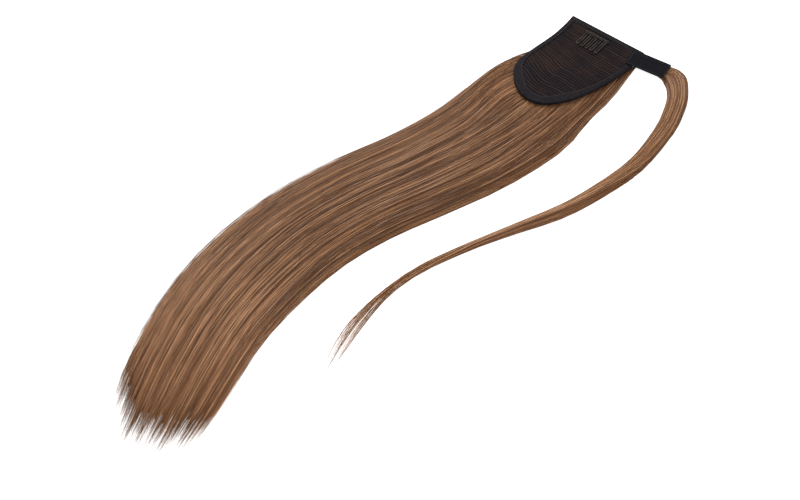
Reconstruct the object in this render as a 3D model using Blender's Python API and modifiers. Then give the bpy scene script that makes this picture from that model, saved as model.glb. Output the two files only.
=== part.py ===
"""A wrap-around ponytail hairpiece, lying on its hair with the inner side of its base up.

The base is a tongue of net bound with tape. A comb is sewn under its top edge, a
hook-and-loop strap on its corner, a thin lock of hair under the strap's end, and the
long fall of hair under the whole base. Sizes are in metres, tables in millimetres.
"""
import math
from collections import namedtuple

import bmesh
import bpy
import numpy as np
from mathutils import Matrix

MM = 0.001

# Place of the middle of the base's top edge
BASE_X = 0.0130
BASE_Y = 0.3030
BASE_Z = 0.0042
BASE_SLOPE = math.radians(6.2)

# Base
NET_THICKNESS = 0.0010
TAPE_WALL = 0.0009
CLEARANCE = 0.0003
TAPE_FOLD = 0.0012
TAPE_TOP_WIDTH = 0.0060
TAPE_SIDE_WIDTH = 0.0048
TAPE_BOTTOM_WIDTH = 0.0090
TAPE_HALF = NET_THICKNESS / 2 + CLEARANCE + TAPE_WALL
TAPE_WIDENS_FROM = 0.070
TAPE_WIDENS_TO = 0.100
TAPE_ROUNDING = 0.0006
FLAT_HALF_WIDTH = 0.014
DROOP_REACH = 0.048
DROOP_PER_METRE = 4.4
DROOP_FROM = 0.020
DROOP_FULL_AT = 0.075
RIB_PITCH = 0.0070
RIB_WIDTH = 0.0014
RIB_RISE = 0.0004
RIB_FLANK = 0.0009
RIB_FADE = 0.0020

# Comb
COMB_X = -0.0030
COMB_Y = -0.0110
COMB_LENGTH = 0.026
COMB_SPINE = (0.0032, 0.0020)
COMB_ROUNDING = 0.0006
TOOTH_COUNT = 5
TOOTH_PITCH = 0.0050
TOOTH_LENGTH = 0.0200
TOOTH_BEND = 0.0011
TOOTH_WIRE = 0.0011

# Strap
STRAP_LENGTH = 0.0380
STRAP_WIDTH = 0.021
STRAP_THICKNESS = 0.0018
STRAP_MIDDLE = (0.0545, -0.0119)
STRAP_TURN = math.radians(7)
STRAP_ROUNDING = 0.0006

# Hair, whose locks each have a groove, a flank, a crest and a flank
LOCK_SECTION = (0, 0.72, 1, 0.72)
FULL_GROOVE_HEIGHT = 0.006
GROOVE_WANDER = 0.35
WANDER_TURNS = 5.0
LOCK_PHASE = 2.4
ROUNDNESS = 2.6
TAIL_SHARE = 0.20
EDGE_THICKNESS = 0.0012
TIP_THICKNESS = 0.0008
HAIR_CLEARANCE = 0.0005
UNDER_BASE_TO = -0.135

BaseRow = namedtuple("BaseRow", "y left right")
BASE_OUTLINE = (
    BaseRow(0, -37.6, 42.5),
    BaseRow(-15, -36.8, 43.4),
    BaseRow(-30, -37.2, 42.4),
    BaseRow(-43, -39.0, 40.0),
    BaseRow(-56, -41.6, 36.8),
    BaseRow(-68, -44.0, 33.6),
    BaseRow(-80, -45.2, 30.2),
    BaseRow(-92, -42.4, 25.8),
    BaseRow(-103, -35.6, 19.8),
    BaseRow(-112, -27.6, 13.2),
    BaseRow(-118, -19.6, 6.4),
    BaseRow(-121, -12.6, -0.2),
    BaseRow(-121.6, -8.6, -4.6),
)

HairForm = namedtuple("HairForm", "locks rings groove notch round_cut")
FALL_FORM = HairForm(locks=12, rings=26, groove=0.0012, notch=0.030, round_cut=0.016)
WRAP_FORM = HairForm(locks=3, rings=44, groove=0.0009, notch=0.040, round_cut=0.004)

HairRow = namedtuple("HairRow", "x y half_width height")
FALL_ROWS = (
    HairRow(2.0, -4, 36.0, 2.4),
    HairRow(2.0, -35, 40.0, 7.0),
    HairRow(-1.5, -65, 45.0, 10.5),
    HairRow(-8, -94, 52.5, 13.5),
    HairRow(-11, -124, 55.3, 15.0),
    HairRow(-22, -183, 53.8, 14.5),
    HairRow(-43, -239, 50.8, 13.4),
    HairRow(-67.3, -294, 50.1, 12.4),
    HairRow(-85.4, -351, 50.4, 11.4),
    HairRow(-93, -410, 51.0, 10.4),
    HairRow(-91.2, -470, 49.4, 8.8),
    HairRow(-79, -529, 47.0, 6.2),
    HairRow(-70, -562, 44.0, 4.2),
    HairRow(-56.5, -610, 36.0, 1.2),
)

WRAP_ROWS = (
    HairRow(56, -8.2, 5.6, 6.6),
    HairRow(70, -6.0, 8.6, 7.2),
    HairRow(82.5, -8.2, 11.6, 7.2),
    HairRow(94.6, -23.2, 9.8, 7.4),
    HairRow(102, -42, 9.2, 7.8),
    HairRow(107.5, -68, 8.8, 8.0),
    HairRow(108.8, -113, 8.1, 8.0),
    HairRow(101, -151, 7.8, 7.5),
    HairRow(86, -196, 7.2, 7.0),
    HairRow(63.5, -239, 6.5, 6.3),
    HairRow(40, -284, 5.9, 5.8),
    HairRow(20.8, -328, 5.4, 5.2),
    HairRow(11.8, -370, 5.2, 4.4),
    HairRow(11.4, -411, 4.6, 3.4),
    HairRow(16, -440, 3.2, 2.0),
    HairRow(21.5, -466, 1.4, 1.0),
)


def material(name, colour, roughness):
    made = bpy.data.materials.new(name)
    made.use_nodes = True
    shader = made.node_tree.nodes["Principled BSDF"]
    shader.inputs["Base Color"].default_value = (*colour, 1)
    shader.inputs["Roughness"].default_value = roughness
    shader.inputs["Metallic"].default_value = 0
    return made


def place(obj, parent, finish, smooth_angle):
    """Put a finished object in the hairpiece's collection, under its parent."""
    for holder in tuple(obj.users_collection):
        holder.objects.unlink(obj)
    bpy.data.collections["ponytail_hairpiece"].objects.link(obj)
    obj.parent = parent
    obj.data.materials.clear()
    obj.data.materials.append(finish)
    obj.data.shade_smooth()
    obj.data.set_sharp_from_angle(angle=math.radians(smooth_angle))
    return obj


def box(name, size, rounding):
    """A box with rounded edges, its size in its own mesh."""
    bpy.ops.mesh.primitive_cube_add(size=1)
    made = bpy.context.object
    made.name = made.data.name = name
    made.data.transform(Matrix.Diagonal((*size, 1)))
    bevel = made.modifiers.new("rounding", "BEVEL")
    bevel.width = rounding
    bevel.segments = 2
    return made


def empty(name, location, slope, parent):
    made = bpy.data.objects.new(name, None)
    bpy.data.collections["ponytail_hairpiece"].objects.link(made)
    made.location = location
    made.rotation_euler = (-slope, 0, 0)
    made.parent = parent
    return made


def skinned(name, rings, closed_path):
    """A closed mesh over rings of points, joined ring to ring, with caps on an open path."""
    count, around = rings.shape[:2]
    shape = bmesh.new()
    corners = [[shape.verts.new(point) for point in ring] for ring in rings]
    for i in range(count if closed_path else count - 1):
        here, after = corners[i], corners[(i + 1) % count]
        for j in range(around):
            k = (j + 1) % around
            shape.faces.new((here[j], here[k], after[k], after[j]))
    if not closed_path:
        for ring in (corners[0], corners[-1]):
            for j in range(around // 2 - 1):
                shape.faces.new((ring[j], ring[j + 1], ring[-2 - j], ring[-1 - j]))
    bmesh.ops.recalc_face_normals(shape, faces=shape.faces)
    mesh = bpy.data.meshes.new(name)
    shape.to_mesh(mesh)
    shape.free()
    return bpy.data.objects.new(name, mesh)


def through(rows, places):
    """Catmull-Rom values at fractional row numbers, for every column of a table."""
    table = np.array(rows, float)
    padded = np.vstack([2 * table[0] - table[1], table, 2 * table[-1] - table[-2]])
    start = np.minimum(places.astype(int), len(table) - 2)
    t = (places - start)[:, None]
    a, b, c, d = (padded[start + k] for k in range(4))
    return 0.5 * (2 * b + (c - a) * t + (2 * a - 5 * b + 4 * c - d) * t**2
                  + (3 * b - a - 3 * c + d) * t**3)


def evenly(rows, count):
    """Rows of a hair table at even steps along its middle line, in metres."""
    fine = through(rows, np.linspace(0, len(rows) - 1, 40 * len(rows)))
    steps = np.linalg.norm(np.diff(fine[:, :2], axis=0), axis=1)
    length = np.concatenate([[0], np.cumsum(steps)])
    wanted = np.linspace(0, length[-1], count)
    return np.stack([np.interp(wanted, length, column) for column in fine.T], axis=1) * MM


def droop(x, y):
    """How far the soft base sags beside its flat middle, more towards its round end."""
    over = np.clip(np.abs(x), FLAT_HALF_WIDTH, DROOP_REACH) - FLAT_HALF_WIDTH
    share = (-y - DROOP_FROM) / (DROOP_FULL_AT - DROOP_FROM)
    return DROOP_PER_METRE * over**2 * np.clip(share, 0, 1)


def under_base(x, y):
    """The most height that hair may have where the base lies on it."""
    net = BASE_Z - y * math.tan(BASE_SLOPE) - droop(x, y)
    lid = net - (TAPE_HALF + HAIR_CLEARANCE) / math.cos(BASE_SLOPE)
    return np.where(y > UNDER_BASE_TO, lid, np.inf)


def under_strap(x, y):
    """The most height that hair may have where the strap lies on it."""
    rise = TAPE_HALF + CLEARANCE - HAIR_CLEARANCE
    lid = BASE_Z - y * math.tan(BASE_SLOPE) + rise / math.cos(BASE_SLOPE)
    return np.where(x < STRAP_MIDDLE[0] + STRAP_LENGTH * 0.55, lid, np.inf)


def base_sides(rows_down):
    """The base's outline as two sides that run from the top edge to the round end."""
    places = np.linspace(0, len(BASE_OUTLINE) - 1, rows_down)
    y, left, right = (through(BASE_OUTLINE, places) * MM).T
    return np.stack([left, y], axis=1), np.stack([right, y], axis=1)


def inward(side, other):
    """Unit directions in the base's plane, square to one side and towards the other."""
    along = np.gradient(side, axis=0)
    square = np.stack([-along[:, 1], along[:, 0]], axis=1)
    square /= np.linalg.norm(square, axis=1)[:, None]
    facing = np.sign(((other - side)[: len(side) // 2] * square[: len(side) // 2]).sum())
    return square * facing


def tape_width(y):
    """The tape is narrow down the sides and wide round the end."""
    blend = np.clip((-y - TAPE_WIDENS_FROM) / (TAPE_WIDENS_TO - TAPE_WIDENS_FROM), 0, 1)
    return TAPE_SIDE_WIDTH + (TAPE_BOTTOM_WIDTH - TAPE_SIDE_WIDTH) * blend


def net_panel(parent, finish):
    """A sheet of net with raised ribs across it, its rim inside the folded tape."""
    left, right = base_sides(24)
    outline = np.vstack(base_sides(120))
    inset = TAPE_FOLD + CLEARANCE
    left_rim = left + inward(left, right) * inset
    right_rim = right + inward(right, left) * inset
    left_rim[0, 1] = right_rim[0, 1] = -inset

    ribs = np.arange(0.012, 0.108, RIB_PITCH)
    half = RIB_WIDTH / 2
    offsets = (-half - RIB_FLANK, -half, half, half + RIB_FLANK)
    stations = np.concatenate([[inset], *(ribs + offset for offset in offsets)])
    stations = np.sort(np.concatenate([stations, [0.1165, 0.1195, 0.1215]]))
    depth = -(left_rim[:, 1] + right_rim[:, 1]) / 2
    across = np.array([0, 0.05, 0.12, 0.22, 0.34, 0.50, 0.66, 0.78, 0.88, 0.95, 1])

    shape = bmesh.new()
    grid = []
    for station in stations:
        ends = [[np.interp(station, depth, rim[:, axis]) for axis in (0, 1)]
                for rim in (left_rim, right_rim)]
        nearest = np.abs(ribs - station).min()
        on_rib = np.clip((half + RIB_FLANK - nearest) / RIB_FLANK, 0, 1)
        row = []
        for share in across:
            x, y = (ends[0][axis] * (1 - share) + ends[1][axis] * share for axis in (0, 1))
            bare = np.linalg.norm(outline - (x, y), axis=1).min() - tape_width(y)
            lift = RIB_RISE * on_rib * np.clip(bare / RIB_FADE, 0, 1)
            row.append(shape.verts.new((x, y, lift - droop(x, y))))
        grid.append(row)
    for upper, lower in zip(grid[:-1], grid[1:]):
        for i in range(len(across) - 1):
            shape.faces.new((upper[i], lower[i], lower[i + 1], upper[i + 1]))
    mesh = bpy.data.meshes.new("net_panel")
    shape.to_mesh(mesh)
    shape.free()
    obj = bpy.data.objects.new("net_panel", mesh)
    thick = obj.modifiers.new("thickness", "SOLIDIFY")
    thick.thickness = NET_THICKNESS
    thick.offset = 0
    return place(obj, parent, finish, 30)


def edge_binding(parent, finish):
    """Tape folded round the net's rim: a C section led round the outline, with square corners."""
    left, right = base_sides(34)
    left_in = left + inward(left, right) * tape_width(left[:, 1])[:, None]
    right_in = right + inward(right, left) * tape_width(right[:, 1])[:, None]
    left_in[0, 1] = right_in[0, 1] = -TAPE_TOP_WIDTH
    top_shares = np.linspace(0, 1, 7)[1:-1, None]
    top = right[0] * (1 - top_shares) + left[0] * top_shares
    top_in = right_in[0] * (1 - top_shares) + left_in[0] * top_shares
    outer = np.vstack([left, right[::-1], top])
    inner = np.vstack([left_in, right_in[::-1], top_in])

    slot = NET_THICKNESS / 2 + CLEARANCE
    shoulder = TAPE_HALF - TAPE_ROUNDING
    rings = []
    for rim, edge in zip(outer, inner):
        width = np.linalg.norm(edge - rim)
        fold = TAPE_FOLD / width
        soft = TAPE_ROUNDING / width
        section = (
            (0, -shoulder), (soft, -TAPE_HALF), (1, -TAPE_HALF), (1, -slot), (fold, -slot),
            (fold, slot), (1, slot), (1, TAPE_HALF), (soft, TAPE_HALF), (0, shoulder),
        )
        ring = []
        for share, rise in section:
            x, y = rim + (edge - rim) * share
            ring.append((x, y, rise - droop(x, y)))
        rings.append(ring)
    return place(skinned("edge_binding", np.array(rings), True), parent, finish, 35)


def comb(parent, finish):
    """A bar with bent wire teeth, sewn flat on the net under the top edge."""
    bar = box("comb", (COMB_LENGTH, *COMB_SPINE), COMB_ROUNDING)

    curve = bpy.data.curves.new("teeth", "CURVE")
    curve.dimensions = "3D"
    curve.bevel_depth = TOOTH_WIRE / 2
    curve.bevel_resolution = 1
    curve.use_fill_caps = True
    straight = TOOTH_LENGTH - TOOTH_BEND
    for tooth in range(TOOTH_COUNT):
        middle = (tooth - (TOOTH_COUNT - 1) / 2) * TOOTH_PITCH
        turn = np.linspace(math.pi, 2 * math.pi, 6)
        bend = [(middle + TOOTH_BEND * math.cos(a), TOOTH_BEND * math.sin(a) - straight) for a in turn]
        route = [(middle - TOOTH_BEND, 0), *bend, (middle + TOOTH_BEND, 0)]
        spline = curve.splines.new("POLY")
        spline.points.add(len(route) - 1)
        for point, (x, y) in zip(spline.points, route):
            point.co = (x, y, 0, 1)
    wires = bpy.data.objects.new("teeth", curve)
    bpy.context.collection.objects.link(wires)
    bpy.context.view_layer.update()
    evaluated = wires.evaluated_get(bpy.context.evaluated_depsgraph_get())
    wire_mesh = bpy.data.meshes.new_from_object(evaluated)
    shape = bmesh.new()
    shape.from_mesh(wire_mesh)
    bmesh.ops.remove_doubles(shape, verts=shape.verts, dist=1e-6)
    bmesh.ops.recalc_face_normals(shape, faces=shape.faces)
    shape.to_mesh(wire_mesh)
    shape.free()
    teeth = bpy.data.objects.new("comb_teeth", wire_mesh)
    bpy.data.objects.remove(wires)
    bpy.data.collections["cutters"].objects.link(teeth)
    teeth.hide_render = True
    teeth.display_type = "WIRE"
    joined = bar.modifiers.new("teeth", "BOOLEAN")
    joined.operation = "UNION"
    joined.object = teeth

    seat = NET_THICKNESS / 2 + CLEARANCE + RIB_RISE + COMB_SPINE[1] / 2
    for piece in (bar, teeth):
        piece.parent = parent
        piece.location = (COMB_X, COMB_Y, seat)
    return place(bar, parent, finish, 40)


def strap(parent, finish):
    """A flat length of hook-and-loop tape that overlaps the base's corner."""
    obj = box("strap", (STRAP_LENGTH, STRAP_WIDTH, STRAP_THICKNESS), STRAP_ROUNDING)
    rise = TAPE_HALF + CLEARANCE + STRAP_THICKNESS / 2
    obj.location = (*STRAP_MIDDLE, rise)
    obj.rotation_euler = (0, 0, STRAP_TURN)
    return place(obj, parent, finish, 40)


def hair(name, rows, form, lid, parent, finish):
    """Hair as ridged locks fused side by side, with a flat underside and a ragged end.

    Towards the end the crests run on past the grooves, so that each lock ends in a
    point of its own. The hair keeps clear of what lies on it.
    """
    path = evenly(rows, form.rings)
    along = np.gradient(path[:, :2], axis=0)
    along /= np.linalg.norm(along, axis=1)[:, None]

    columns = form.locks * len(LOCK_SECTION) + 1
    number = np.arange(columns)
    lock = number // len(LOCK_SECTION)
    hollow = 1 - np.tile(LOCK_SECTION, form.locks + 1)[:columns]
    rings = []
    for i, (x, y, half_width, height) in enumerate(path):
        share = i / (form.rings - 1)
        wander = GROOVE_WANDER * np.sin(WANDER_TURNS * share + LOCK_PHASE * lock)
        wander[[0, -1]] = 0
        q = np.clip(-1 + 2 * (number + wander) / (columns - 1), -1, 1)

        tail = max(0, (share - 1 + TAIL_SHARE) / TAIL_SHARE)
        uneven = hollow + np.sin(LOCK_PHASE * lock)**2 / 3
        lag = (form.notch * uneven + form.round_cut * q**2) * tail**1.5
        dx, dy = along[i]
        px = x + dy * half_width * q - dx * lag
        py = y - dx * half_width * q - dy * lag

        groove = form.groove * min(1, height / FULL_GROOVE_HEIGHT)
        rise = height * np.sqrt(1 - np.abs(q)**ROUNDNESS) - groove * hollow
        rise = np.maximum(rise, EDGE_THICKNESS + (TIP_THICKNESS - EDGE_THICKNESS) * tail)
        rise = np.minimum(rise, lid(px, py))
        top = np.stack([px, py, rise], axis=1)
        bottom = np.stack([px, py, np.zeros(columns)], axis=1)[::-1]
        rings.append(np.vstack([top, bottom]))
    return place(skinned(name, np.array(rings), False), parent, finish, 60)


def main():
    for obj in tuple(bpy.data.objects):
        bpy.data.objects.remove(obj)
    for name in ("ponytail_hairpiece", "cutters"):
        bpy.context.scene.collection.children.link(bpy.data.collections.new(name))

    net = material("net_black_brown", (0.025, 0.017, 0.019), 0.8)
    tape = material("binding_black", (0.030, 0.022, 0.027), 0.75)
    wire = material("comb_black", (0.035, 0.032, 0.034), 0.4)
    hook_tape = material("strap_black", (0.017, 0.017, 0.023), 0.6)
    brown_hair = material("hair_brown", (0.195, 0.100, 0.054), 0.35)

    root = empty("hairpiece_frame", (BASE_X, BASE_Y, 0), 0, None)
    base = empty("base_frame", (0, 0, BASE_Z), BASE_SLOPE, root)
    net_panel(base, net)
    edge_binding(base, tape)
    comb(base, wire)
    strap(base, hook_tape)
    hair("hair_fall", FALL_ROWS, FALL_FORM, under_base, root, brown_hair)
    hair("wrap_lock", WRAP_ROWS, WRAP_FORM, under_strap, root, brown_hair)


main()
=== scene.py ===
"""The looks of the ponytail hairpiece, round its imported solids.

Every size is in metres unless it stands in a table, whose columns are in millimetres.
The hair is made of several thousand separate strands over a dark core, and the base has
its ribbed net, folded tape, stitches, hook tape and wire comb.
"""
import math
from collections import namedtuple

import bpy
import numpy as np
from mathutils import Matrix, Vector


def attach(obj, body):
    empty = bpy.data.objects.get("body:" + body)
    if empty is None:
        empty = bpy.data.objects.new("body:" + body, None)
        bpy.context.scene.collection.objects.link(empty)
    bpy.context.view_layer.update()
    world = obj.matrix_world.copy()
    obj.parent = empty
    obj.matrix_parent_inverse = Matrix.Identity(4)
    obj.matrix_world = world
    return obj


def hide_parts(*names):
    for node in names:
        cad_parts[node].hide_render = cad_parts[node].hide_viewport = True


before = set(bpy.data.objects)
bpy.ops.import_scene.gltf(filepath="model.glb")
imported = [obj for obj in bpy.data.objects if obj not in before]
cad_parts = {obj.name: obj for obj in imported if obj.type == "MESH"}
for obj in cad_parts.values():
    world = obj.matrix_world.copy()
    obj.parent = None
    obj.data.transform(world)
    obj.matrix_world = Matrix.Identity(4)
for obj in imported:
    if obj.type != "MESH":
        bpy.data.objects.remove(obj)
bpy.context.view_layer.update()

MM = 0.001
BAKE_MAP = "OFBake"

# The base's place and form, as in the solids
BASE_X = 0.0130
BASE_Y = 0.3030
BASE_Z = 0.0042
BASE_SLOPE = math.radians(6.2)
NET_THICKNESS = 0.0010
TAPE_WALL = 0.0009
CLEARANCE = 0.0003
TAPE_HALF = NET_THICKNESS / 2 + CLEARANCE + TAPE_WALL
TAPE_TOP_WIDTH = 0.0060
TAPE_SIDE_WIDTH = 0.0048
TAPE_BOTTOM_WIDTH = 0.0090
TAPE_WIDENS_FROM = 0.070
TAPE_WIDENS_TO = 0.100
FLAT_HALF_WIDTH = 0.014
DROOP_REACH = 0.048
DROOP_PER_METRE = 4.4
DROOP_FROM = 0.020
DROOP_FULL_AT = 0.075
STRAP_LENGTH = 0.0380
STRAP_WIDTH = 0.021
STRAP_THICKNESS = 0.0018
STRAP_MIDDLE = (0.0545, -0.0119)
STRAP_TURN = math.radians(7)
HAIR_CLEARANCE = 0.0005
UNDER_BASE_TO = -0.135
ROUNDNESS = 2.6
FLOOR_GAP = 0.0002
SAMPLES_PER_ROW = 60

# Camera, at the photograph's angle
CAMERA_AZIMUTH = math.radians(36.5)
CAMERA_ELEVATION = math.radians(53)
CAMERA_DISTANCE = 1.95
CAMERA_LENS = 100
CAMERA_TARGET = (0.00675, -0.01563, 0)

BaseRow = namedtuple("BaseRow", "y left right")
BASE_OUTLINE = (
    BaseRow(0, -37.6, 42.5),
    BaseRow(-15, -36.8, 43.4),
    BaseRow(-30, -37.2, 42.4),
    BaseRow(-43, -39.0, 40.0),
    BaseRow(-56, -41.6, 36.8),
    BaseRow(-68, -44.0, 33.6),
    BaseRow(-80, -45.2, 30.2),
    BaseRow(-92, -42.4, 25.8),
    BaseRow(-103, -35.6, 19.8),
    BaseRow(-112, -27.6, 13.2),
    BaseRow(-118, -19.6, 6.4),
    BaseRow(-121, -12.6, -0.2),
    BaseRow(-121.6, -8.6, -4.6),
)

HairRow = namedtuple("HairRow", "x y half_width height")
FALL_ROWS = (
    HairRow(2.0, -4, 36.0, 2.4),
    HairRow(2.0, -35, 40.0, 7.0),
    HairRow(-1.5, -65, 45.0, 10.5),
    HairRow(-8, -94, 52.5, 13.5),
    HairRow(-11, -124, 55.3, 15.0),
    HairRow(-22, -183, 53.8, 14.5),
    HairRow(-43, -239, 50.8, 13.4),
    HairRow(-67.3, -294, 50.1, 12.4),
    HairRow(-85.4, -351, 50.4, 11.4),
    HairRow(-93, -410, 51.0, 10.4),
    HairRow(-91.2, -470, 49.4, 8.8),
    HairRow(-79, -529, 47.0, 6.2),
    HairRow(-70, -562, 44.0, 4.2),
    HairRow(-56.5, -610, 36.0, 1.2),
)

WRAP_ROWS = (
    HairRow(56, -8.2, 5.6, 6.6),
    HairRow(70, -6.0, 8.6, 7.2),
    HairRow(82.5, -8.2, 11.6, 7.2),
    HairRow(94.6, -23.2, 9.8, 7.4),
    HairRow(102, -42, 9.2, 7.8),
    HairRow(107.5, -68, 8.8, 8.0),
    HairRow(108.8, -113, 8.1, 8.0),
    HairRow(101, -151, 7.8, 7.5),
    HairRow(86, -196, 7.2, 7.0),
    HairRow(63.5, -239, 6.5, 6.3),
    HairRow(40, -284, 5.9, 5.8),
    HairRow(20.8, -328, 5.4, 5.2),
    HairRow(11.8, -370, 5.2, 4.4),
    HairRow(11.4, -411, 4.6, 3.4),
    HairRow(16, -440, 3.2, 2.0),
    HairRow(21.5, -466, 1.4, 1.0),
)

# Where strands come out from under the base, by their place across the fall,
# the direction in which they leave it, and how far along the fall that is
RootRow = namedtuple("RootRow", "across x y dx dy along")
ROOT_ROWS = (
    RootRow(-1.0, 44.2, -13, 0.10, -0.99, 9),
    RootRow(-0.93, 42.4, -22, 0.02, -1.0, 18),
    RootRow(-0.85, 38.0, -36, 0.08, -1.0, 32),
    RootRow(-0.75, 32, -62, 0.12, -0.99, 58),
    RootRow(-0.5, 18, -96, 0.14, -0.99, 92),
    RootRow(-0.2, 4, -110, 0.02, -1.0, 106),
    RootRow(0.1, -14, -111, -0.28, -0.96, 108),
    RootRow(0.4, -30, -98, -0.58, -0.81, 96),
    RootRow(0.7, -38.8, -83, -0.72, -0.69, 81),
    RootRow(1.0, -42.3, -66, -0.78, -0.63, 64),
)

rng = np.random.default_rng(7)


def through(rows, places):
    """Catmull-Rom values at fractional row numbers, for every column of a table."""
    table = np.array(rows, float)
    padded = np.vstack([2 * table[0] - table[1], table, 2 * table[-1] - table[-2]])
    start = np.minimum(places.astype(int), len(table) - 2)
    t = (places - start)[:, None]
    a, b, c, d = (padded[start + k] for k in range(4))
    return 0.5 * (2 * b + (c - a) * t + (2 * a - 5 * b + 4 * c - d) * t**2
                  + (3 * b - a - 3 * c + d) * t**3)


def ramped(value, start, stop):
    """0 up to start, 1 from stop on, and even between them."""
    return np.clip((value - start) / (stop - start), 0, 1)


class Bundle:
    """A lock or fall of hair: its middle line, half width and height by length along it."""

    def __init__(self, rows):
        fine = through(rows, np.linspace(0, len(rows) - 1, SAMPLES_PER_ROW * len(rows))) * MM
        steps = np.linalg.norm(np.diff(fine[:, :2], axis=0), axis=1)
        self.s = np.concatenate([[0], np.cumsum(steps)])
        self.x, self.y, self.half_width, self.height = fine.T
        along = np.gradient(fine[:, :2], axis=0)
        along /= np.linalg.norm(along, axis=1)[:, None]
        self.dx, self.dy = along.T
        self.length = self.s[-1]

    def read(self, s, *names):
        inside = np.clip(s, 0, self.length)
        return [np.interp(inside, self.s, getattr(self, name)) for name in names]

    def flat(self, s, q):
        """The point on the table at length s and share q of the half width."""
        x, y, w, dx, dy = self.read(s, "x", "y", "half_width", "dx", "dy")
        past = s - np.clip(s, 0, self.length)
        return x + dy * w * q + dx * past, y - dx * w * q + dy * past

    def top(self, s, q):
        height, = self.read(s, "height")
        return height * np.sqrt(np.clip(1 - np.abs(q)**ROUNDNESS, 0, 1))


FALL = Bundle(FALL_ROWS)
WRAP = Bundle(WRAP_ROWS)


def droop(x, y):
    over = np.clip(np.abs(x), FLAT_HALF_WIDTH, DROOP_REACH) - FLAT_HALF_WIDTH
    return DROOP_PER_METRE * over**2 * ramped(-y, DROOP_FROM, DROOP_FULL_AT)


def under_base(x, y):
    net = BASE_Z - y * math.tan(BASE_SLOPE) - droop(x, y)
    lid = net - (TAPE_HALF + HAIR_CLEARANCE) / math.cos(BASE_SLOPE)
    return np.where(y > UNDER_BASE_TO, lid, np.inf)


def under_strap(x, y):
    rise = TAPE_HALF + CLEARANCE - HAIR_CLEARANCE
    lid = BASE_Z - y * math.tan(BASE_SLOPE) + rise / math.cos(BASE_SLOPE)
    return np.where(x < STRAP_MIDDLE[0] + STRAP_LENGTH * 0.55, lid, np.inf)


def to_world(points):
    """From the frame whose origin is the middle of the base's top edge, on the table."""
    return points + np.array([BASE_X, BASE_Y, 0])


def tilted(x, y, z):
    """World points from the base's own frame, whose plane slopes down to the round end."""
    c, s = math.cos(BASE_SLOPE), math.sin(BASE_SLOPE)
    return np.stack([BASE_X + x, BASE_Y + y * c + z * s, BASE_Z - y * s + z * c], axis=-1)


def square_to(path):
    """The level direction at right angles to a path from its first to its last point."""
    square = np.cross(path[-1] - path[0], (0, 0, 1))
    return square / np.linalg.norm(square)


def dress(obj, finish):
    """Gives a piece its material and slot, and rides it on the part's one body."""
    obj.data.materials.append(finish)
    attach(obj, "root")
    return obj


def fast_mesh(name, points, quads, triangles, uv=None):
    """A mesh from arrays. uv holds a pair for each point, kept as the map for baking."""
    mesh = bpy.data.meshes.new(name)
    mesh.vertices.add(len(points))
    mesh.vertices.foreach_set("co", np.ascontiguousarray(points, np.float32).ravel())
    loops = np.concatenate([np.asarray(quads).ravel(), np.asarray(triangles).ravel()])
    loops = loops.astype(np.int32)
    mesh.loops.add(len(loops))
    mesh.loops.foreach_set("vertex_index", loops)
    fours = np.arange(len(quads)) * 4
    threes = len(quads) * 4 + np.arange(len(triangles)) * 3
    starts = np.concatenate([fours, threes]).astype(np.int32)
    mesh.polygons.add(len(starts))
    mesh.polygons.foreach_set("loop_start", starts)
    mesh.update(calc_edges=True)
    if uv is not None:
        layer = mesh.uv_layers.new(name=BAKE_MAP)
        layer.data.foreach_set("uv", np.ascontiguousarray(uv[loops], np.float32).ravel())
    mesh.shade_smooth()
    obj = bpy.data.objects.new(name, mesh)
    bpy.context.scene.collection.objects.link(obj)
    return obj


def loft(rings):
    """Quads between rings that run anticlockwise seen from their end, and fans over both ends."""
    count, around = rings.shape[:2]
    i, j = np.meshgrid(np.arange(count - 1), np.arange(around), indexing="ij")
    n = (j + 1) % around
    quads = np.stack([i * around + j, i * around + n, (i + 1) * around + n, (i + 1) * around + j],
                     axis=2)
    last = (count - 1) * around
    caps = []
    for corner in range(1, around - 1):
        caps.append((0, corner + 1, corner))
        caps.append((last, last + corner, last + corner + 1))
    return quads.reshape(-1, 4), np.array(caps)


def strands(name, paths, radii, tones, roll, finish):
    """Thin closed strands with three sides, each with a pointed tip.

    paths is strand by point by 3, radii strand by point, tones and roll one a strand.
    """
    count, steps = paths.shape[:2]
    along = np.gradient(paths, axis=1)
    along /= np.maximum(np.linalg.norm(along, axis=2, keepdims=True), 1e-9)
    side = np.cross(along, [0.0, 0.0, 1.0])
    side /= np.maximum(np.linalg.norm(side, axis=2, keepdims=True), 1e-9)
    up = np.cross(side, along)
    body = paths[:, :-1]
    rings = []
    for corner in range(3):
        angle = (roll + corner * 2 * math.pi / 3)[:, None, None]
        offset = np.cos(angle) * side[:, :-1] + np.sin(angle) * up[:, :-1]
        rings.append(body + offset * radii[:, :-1, None])
    ring = np.stack(rings, axis=2)
    per = 3 * (steps - 1) + 1
    points = np.concatenate([ring.reshape(count, -1, 3), paths[:, -1:]], axis=1)
    uv = np.empty((count, per, 2))
    share = np.linspace(0, 1, steps)
    uv[:, :-1, 1] = np.repeat(share[:-1], 3)[None]
    uv[:, -1, 1] = 1
    uv[:, :, 0] = tones[:, None]

    first = (np.arange(count) * per)[:, None]
    quads, ends = [], []
    for step in range(steps - 2):
        for corner in range(3):
            a, b = 3 * step + corner, 3 * step + (corner + 1) % 3
            quads.append((a, a + 3, b + 3, b))
    last = 3 * (steps - 2)
    for corner in range(3):
        ends.append((last + corner, per - 1, last + (corner + 1) % 3))
    ends.append((0, 1, 2))
    quads = (first[:, :, None] + np.array(quads)[None]).reshape(-1, 4)
    ends = (first[:, :, None] + np.array(ends)[None]).reshape(-1, 3)
    obj = fast_mesh(name, to_world(points.reshape(-1, 3)), quads, ends, uv.reshape(-1, 2))
    return dress(obj, finish)


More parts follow.
